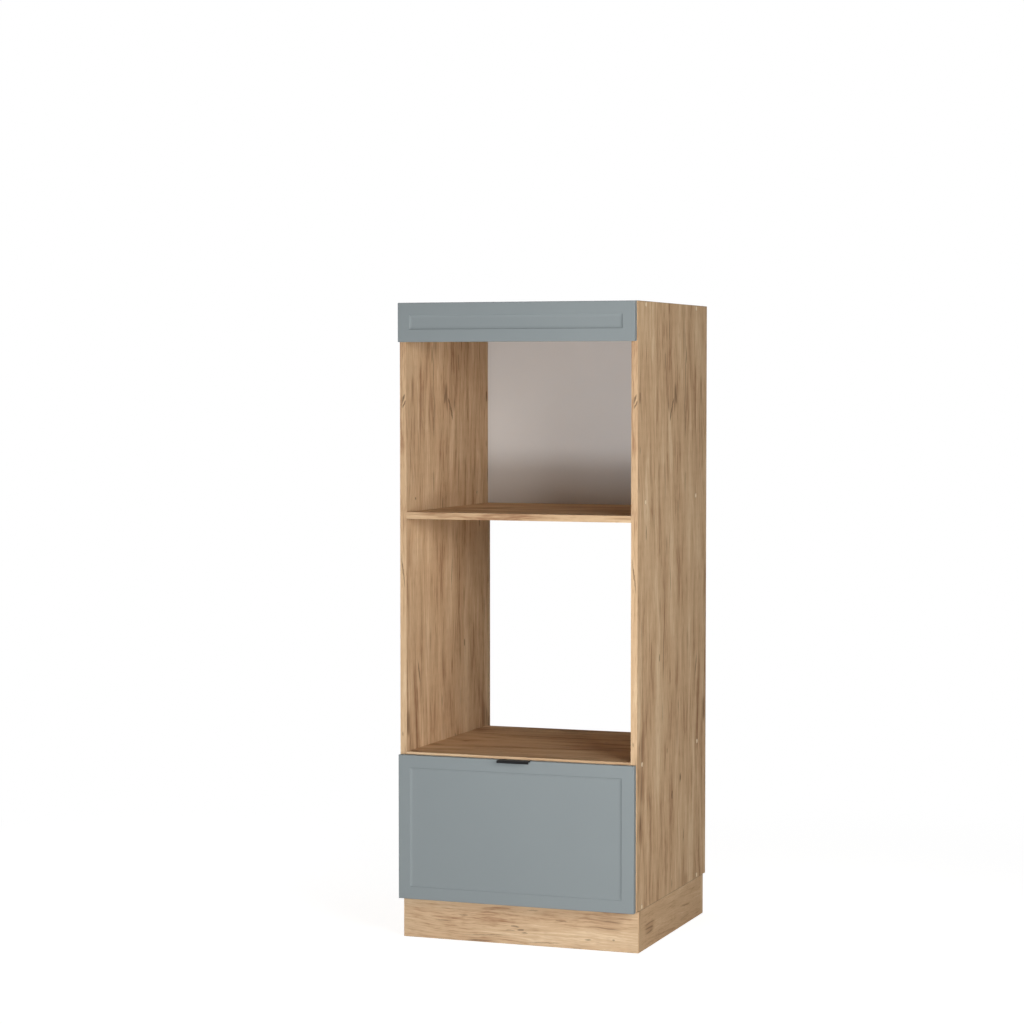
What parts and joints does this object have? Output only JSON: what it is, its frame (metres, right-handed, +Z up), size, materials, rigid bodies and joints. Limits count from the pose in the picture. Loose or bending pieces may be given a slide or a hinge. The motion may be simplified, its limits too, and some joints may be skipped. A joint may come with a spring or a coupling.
{
  "type": "microwave cabinet",
  "caption": "Tall freestanding kitchen unit in oak decor with a grey top fascia, an open microwave niche, an open built-in oven niche and a deep pull-out drawer on a plinth box.",
  "frame": {"origin": "on the floor, under the centre of the unit's bounding box, handle lip to rear edges", "axes": "+X to the right of someone facing the front, +Y from the front to the wall, +Z up"},
  "size_m": [0.602, 0.6036, 1.536],
  "materials": {
    "oak_decor_board": "matt golden oak decor on laminated chipboard",
    "grey_front_film": "soft matt blue-grey film on MDF",
    "white_hardboard": "white lacquered hardboard",
    "black_handle": "satin black powder coat",
    "zinc_steel": "bright zinc plate",
    "oak_plastic": "moulded plastic in a light oak colour"
  },
  "bodies": {
    "carcass": {"side_left": "oak_decor_board", "side_right": "oak_decor_board", "bottom_panel": "oak_decor_board", "oven_shelf": "oak_decor_board", "microwave_shelf": "oak_decor_board", "top_panel": "oak_decor_board", "back_panel_lower": "white_hardboard", "back_panel_upper": "white_hardboard", "fascia": "grey_front_film", "fascia_bracket_left": "zinc_steel", "fascia_bracket_right": "zinc_steel", "plinth_front": "oak_decor_board", "plinth_back": "oak_decor_board", "plinth_left": "oak_decor_board", "plinth_right": "oak_decor_board", "plinth_bracket_left_front": "zinc_steel", "plinth_bracket_left_rear": "zinc_steel", "plinth_bracket_right_front": "zinc_steel", "plinth_bracket_right_rear": "zinc_steel", "confirmat_bottom_left_front": "zinc_steel", "confirmat_bottom_left_rear": "zinc_steel", "confirmat_bottom_right_front": "zinc_steel", "confirmat_bottom_right_rear": "zinc_steel", "confirmat_oven_left_front": "zinc_steel", "confirmat_oven_left_rear": "zinc_steel", "confirmat_oven_right_front": "zinc_steel", "confirmat_oven_right_rear": "zinc_steel", "confirmat_top_left_front": "zinc_steel", "confirmat_top_left_rear": "zinc_steel", "confirmat_top_right_front": "zinc_steel", "confirmat_top_right_rear": "zinc_steel", "hole_cover_left_front": "oak_plastic", "hole_cover_left_rear": "oak_plastic", "hole_cover_right_front": "oak_plastic", "hole_cover_right_rear": "oak_plastic", "cam_bolt_left_front": "zinc_steel", "cam_bolt_left_rear": "zinc_steel", "cam_bolt_right_front": "zinc_steel", "cam_bolt_right_rear": "zinc_steel", "shelf_cam_left_front": "zinc_steel", "shelf_cam_left_rear": "zinc_steel", "shelf_cam_right_front": "zinc_steel", "shelf_cam_right_rear": "zinc_steel", "slide_outer_left": "zinc_steel", "slide_outer_right": "zinc_steel"},
    "drawer": {"drawer_front": "grey_front_film", "drawer_handle": "black_handle", "drawer_side_left": "oak_decor_board", "drawer_side_right": "oak_decor_board", "drawer_inner_front": "oak_decor_board", "drawer_back": "oak_decor_board", "drawer_bottom": "white_hardboard", "slide_inner_left": "zinc_steel", "slide_inner_right": "zinc_steel"},
    "slide_middle_left": {"slide_middle_left": "zinc_steel"},
    "ball_retainer_outer_left": {"ball_retainer_outer_left": "zinc_steel"},
    "ball_retainer_inner_left": {"ball_retainer_inner_left": "zinc_steel"},
    "slide_middle_right": {"slide_middle_right": "zinc_steel"},
    "ball_retainer_outer_right": {"ball_retainer_outer_right": "zinc_steel"},
    "ball_retainer_inner_right": {"ball_retainer_inner_right": "zinc_steel"}
  },
  "joints": [
    {"name": "drawer_slide", "type": "slide", "parent": "carcass", "child": "drawer", "axis": [0, -1, 0], "range_m": [0, 0.5]},
    {"name": "slide_middle_left_travel", "type": "slide", "parent": "carcass", "child": "slide_middle_left", "axis": [0, -1, 0], "range_m": [0, 0.25]},
    {"name": "ball_retainer_outer_left_travel", "type": "slide", "parent": "carcass", "child": "ball_retainer_outer_left", "axis": [0, -1, 0], "range_m": [0, 0.125]},
    {"name": "ball_retainer_inner_left_travel", "type": "slide", "parent": "carcass", "child": "ball_retainer_inner_left", "axis": [0, -1, 0], "range_m": [0, 0.375]},
    {"name": "slide_middle_right_travel", "type": "slide", "parent": "carcass", "child": "slide_middle_right", "axis": [0, -1, 0], "range_m": [0, 0.25]},
    {"name": "ball_retainer_outer_right_travel", "type": "slide", "parent": "carcass", "child": "ball_retainer_outer_right", "axis": [0, -1, 0], "range_m": [0, 0.125]},
    {"name": "ball_retainer_inner_right_travel", "type": "slide", "parent": "carcass", "child": "ball_retainer_inner_right", "axis": [0, -1, 0], "range_m": [0, 0.375]}
  ],
  "couplings": [
    {"joint": "slide_middle_left_travel", "follows": "drawer_slide", "ratio": 0.5},
    {"joint": "ball_retainer_outer_left_travel", "follows": "drawer_slide", "ratio": 0.25},
    {"joint": "ball_retainer_inner_left_travel", "follows": "drawer_slide", "ratio": 0.75},
    {"joint": "slide_middle_right_travel", "follows": "drawer_slide", "ratio": 0.5},
    {"joint": "ball_retainer_outer_right_travel", "follows": "drawer_slide", "ratio": 0.25},
    {"joint": "ball_retainer_inner_right_travel", "follows": "drawer_slide", "ratio": 0.75}
  ]
}
